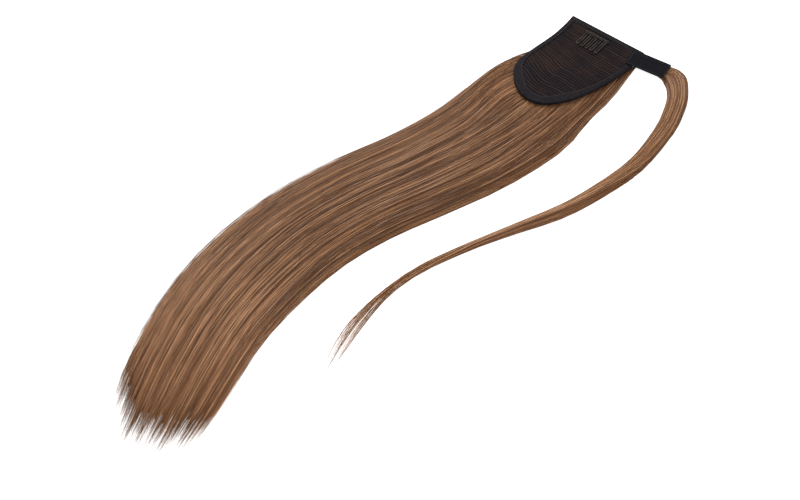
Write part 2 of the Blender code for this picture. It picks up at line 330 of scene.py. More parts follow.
def tubes(name, paths, radii, square, sides, finish):
    """Closed round rods through world points, such as stitches, hooks and wires.

    paths is rod by point by 3, and square a direction a rod that is at right angles to
    the plane it lies in.
    """
    paths = np.asarray(paths, float)
    count, steps = paths.shape[:2]
    radii = np.broadcast_to(np.asarray(radii, float), (count, steps))
    along = np.gradient(paths, axis=1)
    along /= np.linalg.norm(along, axis=2, keepdims=True)
    side = np.broadcast_to(np.asarray(square, float)[:, None], along.shape)
    up = np.cross(side, along)
    up /= np.linalg.norm(up, axis=2, keepdims=True)
    angle = np.arange(sides) * 2 * math.pi / sides
    ring = paths[:, :, None] + radii[:, :, None, None] * (
        np.cos(angle)[:, None] * side[:, :, None] + np.sin(angle)[:, None] * up[:, :, None])
    uv = np.empty((count, steps, sides, 2))
    uv[..., 0] = rng.random(count)[:, None, None]
    uv[..., 1] = np.linspace(0, 1, steps)[:, None]

    quads, ends = loft(ring[0])
    first = (np.arange(count) * sides * steps)[:, None, None]
    quads = (first + quads[None, :, ::-1]).reshape(-1, 4)
    ends = (first + ends[None, :, ::-1]).reshape(-1, 3)
    obj = fast_mesh(name, ring.reshape(-1, 3), quads, ends, uv.reshape(-1, 2))
    return dress(obj, finish)


# Materials


def new_material(name):
    made = bpy.data.materials.new(name)
    made.use_nodes = True
    tree = made.node_tree
    return made, tree, tree.nodes["Principled BSDF"]


def node(tree, kind, **settings):
    made = tree.nodes.new(kind)
    for key, value in settings.items():
        if key in made.inputs:
            made.inputs[key].default_value = value
        else:
            setattr(made, key, value)
    return made


def ramp(tree, source, stops):
    made = tree.nodes.new("ShaderNodeValToRGB")
    elements = made.color_ramp.elements
    while len(elements) < len(stops):
        elements.new(0.5)
    for element, (place, colour) in zip(elements, stops):
        element.position = place
        element.color = (*colour, 1)
    tree.links.new(source, made.inputs["Fac"])
    return made.outputs["Color"]


def mix(tree, how, factor, first, second):
    made = tree.nodes.new("ShaderNodeMix")
    made.data_type = "RGBA"
    made.blend_type = how
    for socket, value in (("Factor", factor), ("A", first), ("B", second)):
        target = next(i for i in made.inputs if i.name == socket and i.enabled)
        if isinstance(value, bpy.types.NodeSocket):
            tree.links.new(value, target)
        else:
            target.default_value = value
    return next(o for o in made.outputs if o.enabled)


def hair_material(name, tone_scale):
    """Hair whose colour is read from the map alone: u is a strand's tone, v its length."""
    made, tree, shader = new_material(name)
    uv = node(tree, "ShaderNodeUVMap", uv_map=BAKE_MAP)
    split = tree.nodes.new("ShaderNodeSeparateXYZ")
    tree.links.new(uv.outputs["UV"], split.inputs[0])
    scaled = [tuple(c * tone_scale for c in colour) for colour in (
        (0.050, 0.0210, 0.0080), (0.100, 0.0430, 0.0165), (0.172, 0.0770, 0.0310),
        (0.270, 0.1400, 0.0690), (0.390, 0.2320, 0.1330))]
    tone = ramp(tree, split.outputs["X"], list(zip((0, 0.3, 0.6, 0.85, 1), scaled)))
    length = ramp(tree, split.outputs["Y"], (
        (0, (0.82, 0.81, 0.81)), (0.08, (0.95, 0.94, 0.94)), (0.30, (0.96, 0.94, 0.92)),
        (0.62, (0.93, 0.88, 0.78)), (0.88, (1.30, 1.30, 1.28)), (1, (1.70, 1.72, 1.78))))
    shaded = mix(tree, "MULTIPLY", 1.0, tone, length)
    stretch = node(tree, "ShaderNodeMapping")
    stretch.inputs["Scale"].default_value = (260, 16, 1)
    tree.links.new(uv.outputs["UV"], stretch.inputs["Vector"])
    noise = node(tree, "ShaderNodeTexNoise", Scale=1.0, Detail=2.0)
    tree.links.new(stretch.outputs["Vector"], noise.inputs["Vector"])
    mottled = ramp(tree, noise.outputs["Fac"], (
        (0.3, (0.74, 0.72, 0.70)), (0.7, (1.26, 1.26, 1.26))))
    tree.links.new(mix(tree, "MULTIPLY", 1.0, shaded, mottled), shader.inputs["Base Color"])
    shader.inputs["Roughness"].default_value = 0.36
    shader.inputs["Specular IOR Level"].default_value = 0.22
    return made


def cloth_material(name, dark, light, scale, bump, roughness):
    """Dark woven cloth: crossing threads in relief, with mottled wear."""
    made, tree, shader = new_material(name)
    place = node(tree, "ShaderNodeTexCoord")
    heights = []
    for direction in ("X", "Y"):
        wave = node(tree, "ShaderNodeTexWave", wave_type="BANDS", bands_direction=direction,
                    Scale=scale, Distortion=0.6, Detail=1.0)
        tree.links.new(place.outputs["Object"], wave.inputs["Vector"])
        heights.append(wave.outputs["Color"])
    weave = mix(tree, "MULTIPLY", 1.0, *heights)
    noise = node(tree, "ShaderNodeTexNoise", Scale=260.0, Detail=5.0, Roughness=0.6)
    tree.links.new(place.outputs["Object"], noise.inputs["Vector"])
    spots = ramp(tree, noise.outputs["Fac"], ((0.35, dark), (0.68, light)))
    threads = ramp(tree, weave, ((0.0, (0.62, 0.62, 0.62)), (0.6, (1.25, 1.25, 1.25))))
    tree.links.new(mix(tree, "MULTIPLY", 1.0, spots, threads), shader.inputs["Base Color"])
    relief = node(tree, "ShaderNodeBump", Strength=bump, Distance=0.0003)
    tree.links.new(weave, relief.inputs["Height"])
    tree.links.new(relief.outputs["Normal"], shader.inputs["Normal"])
    shader.inputs["Roughness"].default_value = roughness
    shader.inputs["Specular IOR Level"].default_value = 0.10
    return made


def net_material():
    """Dark ribbed lace: painted light on the rib crests, painted shade in the gaps between them,
    and brown where hair shows through.
    """
    made, tree, shader = new_material("net_cloth")
    place = node(tree, "ShaderNodeTexCoord")
    tone = node(tree, "ShaderNodeAttribute", attribute_name="tone")
    patches = node(tree, "ShaderNodeTexNoise", Scale=42.0, Detail=3.0)
    threads = node(tree, "ShaderNodeTexNoise", Scale=900.0, Detail=4.0)
    for texture in (patches, threads):
        tree.links.new(place.outputs["Object"], texture.inputs["Vector"])
    # The tone attribute carries painted rib light: near 0 is painted shade in the hollows between
    # ribs, near 1 painted light on the crests.
    black = ramp(tree, tone.outputs["Fac"], (
        (0.0, (0.0022, 0.0012, 0.0015)), (0.45, (0.0080, 0.0052, 0.0058)),
        (1.0, (0.0200, 0.0140, 0.0155))))
    brown = ramp(tree, tone.outputs["Fac"], (
        (0.0, (0.0050, 0.0020, 0.0014)), (0.45, (0.0165, 0.0086, 0.0070)),
        (1.0, (0.0320, 0.0195, 0.0165))))
    where = ramp(tree, patches.outputs["Fac"], ((0.48, (0, 0, 0)), (0.66, (1, 1, 1))))
    base = mix(tree, "MIX", where, black, brown)
    grain = ramp(tree, threads.outputs["Fac"], (
        (0.32, (0.62, 0.60, 0.62)), (0.70, (1.5, 1.5, 1.5))))
    tree.links.new(mix(tree, "MULTIPLY", 1.0, base, grain), shader.inputs["Base Color"])
    relief = node(tree, "ShaderNodeBump", Strength=0.5, Distance=0.0003)
    tree.links.new(threads.outputs["Fac"], relief.inputs["Height"])
    tree.links.new(relief.outputs["Normal"], shader.inputs["Normal"])
    shader.inputs["Roughness"].default_value = 0.85
    shader.inputs["Specular IOR Level"].default_value = 0.08
    return made


def rod_material(name, dark, light, roughness, metallic):
    """Thread or wire, whose tone differs a little from one rod to the next and along it; on the
    comb wire the light spots are painted glints.
    """
    made, tree, shader = new_material(name)
    uv = node(tree, "ShaderNodeUVMap", uv_map=BAKE_MAP)
    stretch = node(tree, "ShaderNodeMapping")
    stretch.inputs["Scale"].default_value = (40, 9, 1)
    tree.links.new(uv.outputs["UV"], stretch.inputs["Vector"])
    noise = node(tree, "ShaderNodeTexNoise", Scale=1.0, Detail=3.0)
    tree.links.new(stretch.outputs["Vector"], noise.inputs["Vector"])
    spots = ramp(tree, noise.outputs["Fac"], ((0.32, dark), (0.68, light)))
    tree.links.new(spots, shader.inputs["Base Color"])
    shader.inputs["Roughness"].default_value = roughness
    shader.inputs["Metallic"].default_value = metallic
    shader.inputs["Specular IOR Level"].default_value = 0.25
    return made


# Camera, light and floor


def set_stage():
    a, e = CAMERA_AZIMUTH, CAMERA_ELEVATION
    back = Vector((math.sin(a) * math.cos(e), -math.cos(a) * math.cos(e), math.sin(e)))
    data = bpy.data.cameras.new("camera")
    data.lens = CAMERA_LENS
    data.sensor_width = 36
    data.clip_end = 20
    camera = bpy.data.objects.new("camera", data)
    camera.location = Vector(CAMERA_TARGET) + back * CAMERA_DISTANCE
    camera.rotation_euler = back.to_track_quat("Z", "Y").to_euler()
    bpy.context.scene.collection.objects.link(camera)
    bpy.context.scene.camera = camera

    bpy.ops.mesh.primitive_plane_add(size=12, location=(0, 0, -0.0004))
    floor = bpy.context.object
    floor.name = "floor"
    made, tree, shader = new_material("floor_white")
    shader.inputs["Base Color"].default_value = (0.50, 0.50, 0.50, 1)
    shader.inputs["Roughness"].default_value = 0.9
    shader.inputs["Specular IOR Level"].default_value = 0.1
    shader.inputs["Emission Color"].default_value = (1, 1, 1, 1)
    shader.inputs["Emission Strength"].default_value = 0.84
    floor.data.materials.append(made)

    world = bpy.data.worlds.new("studio")
    bpy.context.scene.world = world
    world.use_nodes = True
    world.node_tree.nodes["Background"].inputs["Color"].default_value = (1, 1, 1, 1)
    world.node_tree.nodes["Background"].inputs["Strength"].default_value = 0.95
    for name, place, size, power in (
        ("key", (-0.9, 0.7, 1.5), 0.9, 34),
        ("fill", (1.3, -0.6, 1.6), 1.4, 14),
    ):
        light = bpy.data.lights.new(name, "AREA")
        light.size = size
        light.energy = power
        lamp = bpy.data.objects.new(name, light)
        lamp.location = place
        lamp.rotation_euler = Vector(place).to_track_quat("Z", "Y").to_euler()
        bpy.context.scene.collection.objects.link(lamp)
    bpy.context.scene.view_settings.view_transform = "Standard"


# The fall of hair

FALL_COUNT = 4600
FALL_STEPS = 25
FALL_PIECES = 4
FALL_CLUMPS = 320
CLUMP_SPREAD = 0.014
CLUMP_WAVES = ((0.0055, 0.21), (0.0030, 0.12))
UNDER_SHARE = 0.16
UNDER_RADIUS = 0.00034
LINING_SHARE = 0.16
LOOSE_SHARE = 0.16
FALL_RADII = (0.00015, 0.00027)
RAISED_RADII = (0.00020, 0.00029)
# Shares of strands raised to the top and given a painted highlight (light tone) or painted shade
# (dark tone).
GLINTS_BELOW = 0.036
SHADE_STRANDS_ABOVE = 0.958
JOINS_FLOW_AT = 0.190

# The tips: where they part into wisps, how far they reach past the last row, how much
# sooner they end at the sides, and what share of the strands ends how far from the longest
TAIL_WISPS = 66
TAIL_FROM = 0.50
TAIL_LENGTH = 0.12
WISP_LENGTH = 0.060
FALL_PAST_END = 0.018
LEFT_CUT = 0.062
RIGHT_CUT = 0.015
END_SHARES = (0, 0.012, 0.05, 0.12, 0.25, 0.45, 0.75, 1)
END_SETBACKS = (0, 0.008, 0.016, 0.024, 0.032, 0.041, 0.060, 0.100)


def at_root(across, column):
    return np.interp(across, [row.across for row in ROOT_ROWS],
                     [getattr(row, column) for row in ROOT_ROWS])


def leave_base(s, q, flow_x, flow_y, jitter):
    """Bends the first stretch of each strand out from under the base's round edge."""
    start = q[:, :1]
    root = [at_root(start, column) for column in ("x", "y", "dx", "dy")]
    begun = s[:, :1]
    rx, ry = root[0] * MM + jitter[0], root[1] * MM + jitter[1]
    joined = JOINS_FLOW_AT - 0.055 * start**2 - 0.045 * np.clip((-start - 0.6) / 0.4, 0, 1)
    jx, jy = FALL.flat(joined, start)
    reach = np.hypot(jx - rx, jy - ry)
    dx, dy = FALL.read(joined, "dx", "dy")
    t = np.clip((s - begun) / (joined - begun), 0, 1)
    h1, h2 = 2 * t**3 - 3 * t**2 + 1, t**3 - 2 * t**2 + t
    h3, h4 = -2 * t**3 + 3 * t**2, t**3 - t**2
    bent_x = h1 * rx + h2 * root[2] * reach + h3 * jx + h4 * dx * reach
    bent_y = h1 * ry + h2 * root[3] * reach + h3 * jy + h4 * dy * reach
    early = s < joined
    return np.where(early, bent_x, flow_x), np.where(early, bent_y, flow_y)


def swing(s, shortest, longest):
    """A wave along each strand, with a random length and phase for each."""
    length = rng.uniform(shortest, longest, (len(s), 1))
    return np.sin(s * 2 * math.pi / length + rng.uniform(0, 6, (len(s), 1)))


def fall_strands(finish):
    """All the strands of the fall, from their places s along it and q across it."""
    clump_q = np.linspace(-0.985, 0.985, FALL_CLUMPS) + rng.normal(0, 0.006, FALL_CLUMPS)
    clump_tone = rng.normal(0, 0.03, FALL_CLUMPS)
    clump_lift = rng.normal(0, 0.00016, FALL_CLUMPS)
    clump_end = rng.normal(0, 0.0010, FALL_CLUMPS)
    clump_phase = rng.uniform(0, 2 * math.pi, (FALL_CLUMPS, 2))
    clump = rng.integers(0, FALL_CLUMPS, FALL_COUNT)

    under = rng.random(FALL_COUNT) < UNDER_SHARE
    base_q = clump_q[clump] + rng.normal(0, CLUMP_SPREAD, FALL_COUNT)
    base_q = np.clip(base_q, -0.995, 0.995)
    left_cut = LEFT_CUT * np.clip((base_q - 0.35) / 0.65, 0, 1)**1.4
    left_cut *= rng.uniform(0.35, 1, FALL_COUNT)
    left_cut *= np.where(rng.random(FALL_COUNT) < 0.14, 0.2, 1)
    right_cut = RIGHT_CUT * np.clip(-base_q, 0, 1)**2
    staggered = np.interp(rng.random(FALL_COUNT), END_SHARES, END_SETBACKS)
    end = FALL.length + FALL_PAST_END - left_cut - right_cut - staggered + clump_end[clump]
    wisp = ((base_q + 1) / 2 * TAIL_WISPS).astype(int)
    end += rng.normal(0, 0.0028, TAIL_WISPS)[wisp]

    begin = at_root(base_q, "along") * MM
    lining = (rng.random(FALL_COUNT) < LINING_SHARE) & (np.abs(base_q) > 0.6) & ~under
    begin = np.where(lining, rng.uniform(0.004, 0.030, FALL_COUNT), begin)
    share = np.linspace(0, 1, FALL_STEPS)[None]
    s = begin[:, None] + (end - begin)[:, None] * share**1.35

    waves = sum(
        size * np.sin(s * 2 * math.pi / wavelength + clump_phase[clump, k][:, None])
        for k, (size, wavelength) in enumerate(CLUMP_WAVES))
    own = rng.normal(0, 0.012, (FALL_COUNT, 1)) * swing(s, 0.15, 0.5)
    tail = np.clip((s - TAIL_FROM) / TAIL_LENGTH, 0, 1)
    wisp_q = (np.arange(TAIL_WISPS) + 0.5) / TAIL_WISPS * 2 - 1 + rng.normal(0, 0.006, TAIL_WISPS)
    wisp_splay = rng.normal(0, 0.010, TAIL_WISPS)[wisp][:, None]
    gathered = np.clip((s - FALL.length + WISP_LENGTH) / WISP_LENGTH, 0, 1)
    gathered = gathered * rng.uniform(0.30, 0.80, (FALL_COUNT, 1))
    splay = tail**2 * (wisp_splay + rng.normal(0, 0.012, (FALL_COUNT, 1)) + 0.03 * base_q[:, None])
    splay += gathered * (wisp_q[wisp] - base_q)[:, None]
    loose = np.where(rng.random(FALL_COUNT) < LOOSE_SHARE,
                     rng.uniform(0.01, 0.09, FALL_COUNT), 0)
    stray = loose * np.sign(base_q) * np.where(base_q > 0.8, 1, 0.4 * (base_q < -0.8))
    splay += stray[:, None] * np.clip(s / 0.3, 0, 1) * (1 + tail)
    q = base_q[:, None] + (waves + own) * (1 - 0.6 * np.abs(base_q[:, None])) + splay
    q -= 0.05 * np.clip((-base_q[:, None] - 0.7) / 0.3, 0, 1) * np.exp(-((s - 0.135) / 0.03)**2)
    q_in = np.clip(q, -0.999, 0.999)

    flow_x, flow_y = FALL.flat(s, q)
    calm = 1 - 0.85 * np.clip((-base_q - 0.7) / 0.2, 0, 1)
    jitter = rng.normal(0, 0.0016, (2, FALL_COUNT, 1)) * calm[:, None]
    x, y = leave_base(s, q, flow_x, flow_y, jitter)
    x = np.where(lining[:, None], flow_x, x)
    y = np.where(lining[:, None], flow_y, y)

    depth = np.abs(rng.normal(0, 0.0009, (FALL_COUNT, 1))) + 0.0002
    kind = rng.random(FALL_COUNT)
    glint, shade_strand = kind < GLINTS_BELOW, kind > SHADE_STRANDS_ABOVE
    raised = (glint | shade_strand) & ~under
    depth[raised] = rng.uniform(-0.00005, 0.00020, (raised.sum(), 1))
    dip = rng.uniform(0.00008, 0.0004, (FALL_COUNT, 1)) * (1 + swing(s, 0.09, 0.26))
    depth = depth + dip
    top = FALL.top(s, q_in) + clump_lift[clump][:, None] - depth
    low = np.abs(rng.normal(0, 0.0012, (FALL_COUNT, 1))) + 0.0003
    z = np.where(under[:, None], np.minimum(low, top), top)
    radius = np.where(under, UNDER_RADIUS, rng.uniform(*FALL_RADII, FALL_COUNT))
    taper = np.interp(share, (0, 0.84, 0.93, 1), (1, 1, 0.60, 0.16)) * np.ones_like(z)
    radius = np.where(raised, rng.uniform(*RAISED_RADII, FALL_COUNT), radius)
    radii = radius[:, None] * taper
    near = np.clip((-base_q - 0.76) / 0.12, 0, 1)[:, None] * np.clip((0.070 - s) / 0.040, 0, 1)
    sewn = np.minimum(under_base(x, y), 0.02) - radii - 0.6 * depth
    z = z + near * np.maximum(sewn - z, 0)
    z = np.minimum(z, under_base(x, y) - radii - 0.6 * depth)
    z = np.maximum(z, radii + FLOOR_GAP)

    tones = 0.405 + clump_tone[clump] + rng.normal(0, 0.27, FALL_COUNT)
    # Painted shade: strands on the left side of the fall (q above 0.2), which the key light
    # brightens, are made darker.
    tones -= 0.12 * np.clip((base_q - 0.2) / 0.8, 0, 1)
    # Painted highlights on the glint strands, and painted shade on the dark strands that stand for
    # the shade between hairs.
    tones = np.where(glint, rng.uniform(0.72, 0.92, FALL_COUNT), tones)
    tones = np.where(shade_strand, rng.uniform(0.06, 0.20, FALL_COUNT), tones)
    tones = np.clip(tones, 0.02, 0.98)
    roll = rng.uniform(0, 2 * math.pi, FALL_COUNT)
    paths = np.stack([x, y, z], axis=2)
    order = rng.permutation(FALL_COUNT)
    for k, chosen in enumerate(np.array_split(order, FALL_PIECES)):
        strands(f"hair_fall_strands_{k + 1}", paths[chosen], radii[chosen],
                tones[chosen], roll[chosen], finish)


def core(name, bundle, inset, side_inset, shares, columns, lid, finish):
    """The dark inside of a bundle of hair, a closed form just under its strands, coloured darker
    than them as painted shade within the bundle.
    """
    q = np.linspace(-1, 1, columns)
    rings, coords = [], []
    ragged = 0.005 * np.sin(q * 23) + 0.006 * np.sin(q * 67 + 1) - 0.010 * q**2
    ragged = ragged - 0.026 * np.clip(q, 0, 1)**3
    for share in shares:
        s = share * bundle.length + ragged * (share / shares[-1])**8
        width, = bundle.read(s[columns // 2], "half_width")
        shrink = max(0.1, 1 - side_inset / width)
        x, y = bundle.flat(s, q * shrink)
        fade = min(1, (shares[-1] - share) / 0.12)
        z = np.maximum(bundle.top(s, q * 0.995) * fade - inset, 0.0006)
        z = np.minimum(z, lid(x, y) - 0.0006)
        top = np.stack([x, y, z], axis=1)
        low = np.stack([x, y, np.full(columns, 0.0003)], axis=1)[::-1]
        rings.append(np.vstack([top, low]))
        across = (q + 1) / 2
        coords.append(np.stack([np.concatenate([across, across[::-1]]),
                                np.full(2 * columns, share)], axis=1))
    rings = np.array(rings)
    count, around = rings.shape[:2]
    quads = []
    for i in range(count - 1):
        for j in range(around):
            k = (j + 1) % around
            a, b = i * around + j, i * around + k
            quads.append((a, b, b + around, a + around))
    for i, turned in ((0, True), (count - 1, False)):
        for j in range(columns - 1):
            start, stop = i * around, i * around + around
            face = [start + j, start + j + 1, stop - 2 - j, stop - 1 - j]
            quads.append(face[::-1] if turned else face)
    quads = np.array(quads)
    obj = fast_mesh(name, to_world(rings.reshape(-1, 3)), quads, np.zeros((0, 3), int),
                    np.array(coords).reshape(-1, 2))
    return dress(obj, finish)


def core_material():
    made, tree, shader = new_material("hair_core")
    uv = node(tree, "ShaderNodeUVMap", uv_map=BAKE_MAP)
    stretch = node(tree, "ShaderNodeMapping")
    stretch.inputs["Scale"].default_value = (160, 5, 1)
    tree.links.new(uv.outputs["UV"], stretch.inputs["Vector"])
    noise = node(tree, "ShaderNodeTexNoise", Scale=1.0, Detail=4.0)
    tree.links.new(stretch.outputs["Vector"], noise.inputs["Vector"])
    # Painted shade: the core is darker than the strands, for the shade inside the bundle, with
    # streaks along it.
    colour = ramp(tree, noise.outputs["Fac"], (
        (0.3, (0.050, 0.023, 0.011)), (0.5, (0.11, 0.054, 0.027)), (0.72, (0.20, 0.11, 0.06))))
    tree.links.new(colour, shader.inputs["Base Color"])
    relief = node(tree, "ShaderNodeBump", Strength=0.6, Distance=0.0004)
    tree.links.new(noise.outputs["Fac"], relief.inputs["Height"])
    tree.links.new(relief.outputs["Normal"], shader.inputs["Normal"])
    shader.inputs["Roughness"].default_value = 0.5
    return made


# The wrap lock

WRAP_COUNT = 780
WRAP_STEPS = 32
WRAP_LANES = 54
WRAP_RADII = (0.00018, 0.00030)
WRAP_TWIST_LENGTH = 0.34
WRAP_PAST_END = 1.06
# What share of the strands ends before what share of the lock's length
WRAP_END_SHARES = (0, 0.30, 0.56, 0.74, 0.90, 0.985, 1)
WRAP_END_PLACES = (0.33, 0.54, 0.69, 0.82, 0.925, 0.99, WRAP_PAST_END)


def wrap_strands(finish):
    """The strands lie round the lock's section, and part into two lanes in its tail."""
    turn = rng.uniform(0, 2 * math.pi, WRAP_COUNT)
    reach = 1 - np.abs(rng.normal(0, 0.14, WRAP_COUNT))
    late = rng.random(WRAP_COUNT)
    end = WRAP.length * np.interp(late, WRAP_END_SHARES, WRAP_END_PLACES)
    share = np.linspace(0, 1, WRAP_STEPS)
    fine = np.linspace(0, WRAP_PAST_END * WRAP.length, 600)
    weight = np.cumsum(1 + 2.6 * np.exp(-((fine - 0.045) / 0.032)**2))
    s = np.interp(share[None] * np.interp(end, fine, weight)[:, None], weight, fine)
    twist = 0.5 * np.sin(s * 2 * math.pi / WRAP_TWIST_LENGTH)
    angle = turn[:, None] + twist
    own = rng.normal(0, 0.05, (WRAP_COUNT, 1)) * swing(s, 0.1, 0.3)
    calm = 1 - 0.8 * np.clip((s / WRAP.length - 0.45) / 0.2, 0, 1)
    q = reach[:, None] * np.cos(angle) + own * calm
    parted = np.clip((s / WRAP.length - 0.58) / 0.18, 0, 1)
    lane = np.where(rng.random((WRAP_COUNT, 1)) < 0.6, 0.62, -0.62)
    q = q * (1 - 0.50 * parted) + lane * 0.75 * parted
    q = q * (1 + 1.1 * np.clip((s / WRAP.length - 0.80) / 0.16, 0, 1.6))
    q = q * np.interp(s / WRAP.length, (0.48, 0.60, 0.76, 0.88), (1, 0.68, 0.70, 0.95))
    narrow = np.interp(s, (0, 0.012, 0.024, 0.036, 0.050), (0.80, 0.90, 0.96, 0.92, 0.97))
    height, = WRAP.read(s, "height")
    x, y = WRAP.flat(s, q * narrow)
    rise = 0.5 + 0.5 * reach[:, None] * np.sin(angle) * 0.94
    top = height * (0.35 + 0.65 * np.sqrt(np.clip(1 - q**2, 0, 1)))
    z = rise * top
    radius = rng.uniform(*WRAP_RADII, WRAP_COUNT)
    taper = np.interp(share, (0, 0.75, 0.92, 1), (1, 1, 0.6, 0.2))
    radii = radius[:, None] * taper[None]
    z = np.minimum(z, under_strap(x, y) - radii)
    z = np.maximum(z, radii + FLOOR_GAP)
    shades = rng.normal(-0.09, 0.15, WRAP_LANES)[(turn / (2 * math.pi) * WRAP_LANES).astype(int)]
    tones = np.clip(0.61 + shades + rng.normal(0, 0.27, WRAP_COUNT), 0.02, 0.98)
    roll = rng.uniform(0, 2 * math.pi, WRAP_COUNT)
    return strands("wrap_lock_strands", np.stack([x, y, z], axis=2), radii, tones, roll, finish)


# The base: ribbed net, folded tape and their stitches

RIB_PITCH = 0.0030
RIB_RISE = 0.0004
NET_INSET = 0.0022


def on_base(x, y, rise):
    """World points at a rise above the net's middle, square to the base's plane."""
    return tilted(x, y, rise - droop(x, y))


def base_sides(count):
    places = np.linspace(0, len(BASE_OUTLINE) - 1, count)
    y, left, right = (through(BASE_OUTLINE, places) * MM).T
    return y, left, right


def from_edge(x, y):
    """Distance to the left and round edges of the base."""
    edge_y, left, right = base_sides(160)
    ex = np.concatenate([left, right[:79:-1]])
    ey = np.concatenate([edge_y, edge_y[:79:-1]])
    return np.sqrt(np.min([(x - a)**2 + (y - b)**2 for a, b in zip(ex, ey)], axis=0))


def rib_count(x, y):
    """Ribs run parallel to the top edge, and bend along the edge at the round lower left."""
    down = np.clip((-y - 0.018) / 0.100, 0, 1)
    across = np.clip((0.034 - x) / 0.082, 0, 1)
    turned = 0.66 * down**2 * (3 - 2 * down) * across**2 * (3 - 2 * across)
    length = BASE_OUTLINE[-1].y * -MM - from_edge(x, y)
    wander = 0.00030 * np.sin(x * 70 + y * 190) + 0.00035 * np.sin(y * 410 + 1)
    wander += 0.00016 * np.sin(x * 260 - y * 75 + 2)
    return ((1 - turned) * -y + turned * length + wander) / RIB_PITCH


def net_rise(x, ribs):
    rib = np.clip(np.cos(2 * math.pi * ribs), -0.6, 1) * 0.5 + 0.3
    puckers = 0.00010 * np.sin(x / 0.0011 + 2 * ribs)
    return NET_THICKNESS / 2 + RIB_RISE * rib / 0.8 + puckers * rib


def net_panel(finish):
    columns, rows = 60, 235
    y, left, right = base_sides(600)
    even = np.linspace(y[0] - NET_INSET, y[-1] + NET_INSET, rows)
    left = np.interp(-even, -y, left) + NET_INSET
    right = np.interp(-even, -y, right) - NET_INSET
    share = np.linspace(0, 1, columns)
    x = left[:, None] + (right - left)[:, None] * share[None]
    wide = np.repeat(even[:, None], columns, axis=1)
    ribs = rib_count(x, wide)
    top = on_base(x, wide, net_rise(x, ribs))
    low = on_base(x, wide, np.full_like(x, -NET_THICKNESS / 2))
    points = np.concatenate([top.reshape(-1, 3), low.reshape(-1, 3)])
    i = np.arange(rows - 1)[:, None] * columns + np.arange(columns - 1)[None]
    upper = np.stack([i, i + columns, i + columns + 1, i + 1], axis=2).reshape(-1, 4)
    lower = upper[:, ::-1] + rows * columns
    rim = np.concatenate([
        np.arange(columns), columns * np.arange(1, rows) + columns - 1,
        (rows - 1) * columns + np.arange(columns - 2, -1, -1),
        columns * np.arange(rows - 2, 0, -1)])
    after = np.roll(rim, -1)
    wall = np.stack([rim, after, after + rows * columns, rim + rows * columns], axis=1)
    quads = np.concatenate([upper, lower, wall])
    flat = np.stack([(x + 0.05) / 0.1, (wide + 0.125) / 0.13], axis=2).reshape(-1, 2)
    obj = fast_mesh("net_sheet", points, quads, np.zeros((0, 3), int), np.tile(flat, (2, 1)))
    # Painted light and shade: each rib's crest is made lighter and the hollow between ribs darker,
    # kept as the net's tone attribute.
    uneven = 0.72 + 0.28 * np.sin(np.round(ribs) * 2.4) * np.sin(x * 90 + np.round(ribs))
    painted_rib_light = (0.5 + 0.5 * np.cos(2 * math.pi * ribs)) * uneven
    tone = obj.data.attributes.new("tone", "FLOAT", "POINT")
    tone.data.foreach_set("value", np.tile(painted_rib_light.ravel(), 2).astype(np.float32))
    return dress(obj, finish)


def net_stitches(finish):
    """Rows of small stitches along the crests of the ribs."""
    paths, squares = [], []
    y, left, right = base_sides(600)
    fine_y = np.linspace(0, y[-1], 400)
    fine_x = np.linspace(-0.044, 0.044, 120)
    ribs = rib_count(*np.meshgrid(fine_x, fine_y))
    for rib in range(2, 43):
        level = np.array([np.interp(rib, np.maximum.accumulate(column), fine_y)
                          for column in ribs.T])
        steps = np.concatenate([[0], np.cumsum(np.hypot(np.diff(fine_x), np.diff(level)))])
        starts = np.arange(0.0012 * (rib % 2), steps[-1] - 0.002, 0.0024)
        for start in starts:
            along = start + np.array([0, 0.0004, 0.0012, 0.0016])
            px, py = np.interp(along, steps, fine_x), np.interp(along, steps, level)
            wide = TAPE_SIDE_WIDTH + (TAPE_BOTTOM_WIDTH - TAPE_SIDE_WIDTH) * np.clip(
                (-py[0] - TAPE_WIDENS_FROM) / (TAPE_WIDENS_TO - TAPE_WIDENS_FROM), 0, 1)
            at_left, at_right = (np.interp(-py[0], -y, edge) for edge in (left, right))
            inside = at_left + wide < px[0] < at_right - wide - 0.001
            if not inside or py[0] > -0.0068 or from_edge(px[:1], py[:1])[0] < wide:
                continue
            lean = py + np.array([-0.00015, -0.00005, 0.00005, 0.00015])
            rise = NET_THICKNESS / 2 + RIB_RISE + np.array([-0.00030, 0.00002, 0.00002, -0.00030])
            paths.append(on_base(px, lean, rise))
            squares.append(square_to(paths[-1]))
    return tubes("net_stitches", paths, 0.00016, squares, 3, finish)


def base_ring():
    """Even points round the base's outline, with mitred inward directions and tape widths."""
    y, left, right = base_sides(600)
    down = np.stack([left, y], axis=1)
    up = np.stack([right, y], axis=1)[::-1]
    sides = np.concatenate([down, up])
    steps = np.concatenate([[0], np.cumsum(np.linalg.norm(np.diff(sides, axis=0), axis=1))])
    wanted = np.linspace(0, steps[-1], 190)
    sides = np.stack([np.interp(wanted, steps, column) for column in sides.T], axis=1)
    across = np.linspace(0, 1, 56)[1:-1, None]
    edge = sides[-1] + (sides[0] - sides[-1]) * across
    ring = np.concatenate([sides, edge])
    before, after = ring - np.roll(ring, 1, axis=0), np.roll(ring, -1, axis=0) - ring
    n1, n2 = (np.stack([-v[:, 1], v[:, 0]], axis=1) / np.linalg.norm(v, axis=1)[:, None]
              for v in (before, after))
    miter = (n1 + n2) / (1 + (n1 * n2).sum(axis=1))[:, None]
    blend = np.clip((-ring[:, 1] - TAPE_WIDENS_FROM) / (TAPE_WIDENS_TO - TAPE_WIDENS_FROM), 0, 1)
    width = TAPE_SIDE_WIDTH + (TAPE_BOTTOM_WIDTH - TAPE_SIDE_WIDTH) * blend
    top = np.arange(len(ring)) >= len(sides)
    width = np.where(top, TAPE_TOP_WIDTH, width)
    length = np.concatenate([[0], np.cumsum(np.linalg.norm(after, axis=1))])[:-1]
    return ring, miter, width, length


